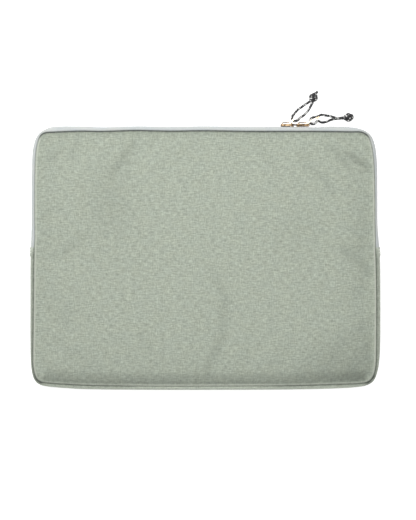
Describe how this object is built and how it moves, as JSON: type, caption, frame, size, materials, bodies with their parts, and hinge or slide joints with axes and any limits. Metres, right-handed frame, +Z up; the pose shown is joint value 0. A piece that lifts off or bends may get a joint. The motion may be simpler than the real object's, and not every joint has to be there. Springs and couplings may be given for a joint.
{
  "type": "laptop sleeve",
  "caption": "Flat padded laptop sleeve with rounded corners, a zip over the top and upper sides, and knotted cord pulls on its sliders.",
  "frame": {"origin": "middle of the back panel's outer face, which the sleeve lies on", "axes": "+X along the sleeve's width, +Y towards the zipped top edge, +Z up through its thickness, out of the front panel"},
  "size_m": [0.3446, 0.2966, 0.026],
  "materials": {
    "canvas": "heathered sage-green plain-weave canvas, matt",
    "foam": "soft closed-cell padding, hidden between shell and lining",
    "lining": "smooth woven lining, dark grey-green",
    "binding": "ribbed binding tape, dark",
    "zip_tape": "pale blue-grey woven zip tape",
    "zip_coil": "pale grey nylon coil",
    "thread": "pale polyester thread",
    "brass": "cast and polished, slightly worn",
    "cord": "braided black cord with white flecks"
  },
  "bodies": {
    "sleeve": {"back_shell": "canvas", "back_foam": "foam", "back_lining": "lining", "front_shell_lower": "canvas", "front_foam_lower": "foam", "front_lining_lower": "lining", "gusset_band": "canvas", "gusset_lining": "lining", "zip_tape_back": "zip_tape", "zip_coil_back": "zip_coil", "binding_back": "binding", "binding_front_lower": "binding", "end_stitching": "thread"},
    "mouth_flap": {"front_shell_upper": "canvas", "front_foam_upper": "foam", "front_lining_upper": "lining", "zip_tape_front": "zip_tape", "zip_coil_front": "zip_coil", "binding_front_upper": "binding"},
    "left_slider": {"slider_left": "brass"},
    "right_slider": {"slider_right": "brass"},
    "left_pull": {"puller_left": "brass", "cord_left": "cord", "knot_left": "cord"},
    "right_pull": {"puller_right": "brass", "cord_right": "cord", "knot_right": "cord"}
  },
  "joints": [
    {"name": "left_slider_slide", "type": "slide", "parent": "sleeve", "child": "left_slider", "axis": [-1, 0, 0], "range_m": [0, 0.215]},
    {"name": "right_slider_slide", "type": "slide", "parent": "sleeve", "child": "right_slider", "axis": [1, 0, 0], "range_m": [0, 0.04]},
    {"name": "mouth_opening", "type": "hinge", "parent": "sleeve", "child": "mouth_flap", "pos_m": [0, 0.01, 0.026], "axis": [1, 0, 0], "range_deg": [0, 16], "deforming": ["zip_tape_front", "zip_coil_front"]},
    {"name": "left_puller_swing", "type": "hinge", "parent": "left_slider", "child": "left_pull", "pos_m": [0.0838, 0.1333, 0.013], "axis": [0, 0, 1], "range_deg": [0, 80]},
    {"name": "right_puller_swing", "type": "hinge", "parent": "right_slider", "child": "right_pull", "pos_m": [0.1006, 0.1333, 0.013], "axis": [0, 0, 1], "range_deg": [-5, 20]}
  ],
  "couplings": [
    {"joint": "mouth_opening", "follows": "left_slider_slide", "rad_per_m": 1.298}
  ]
}
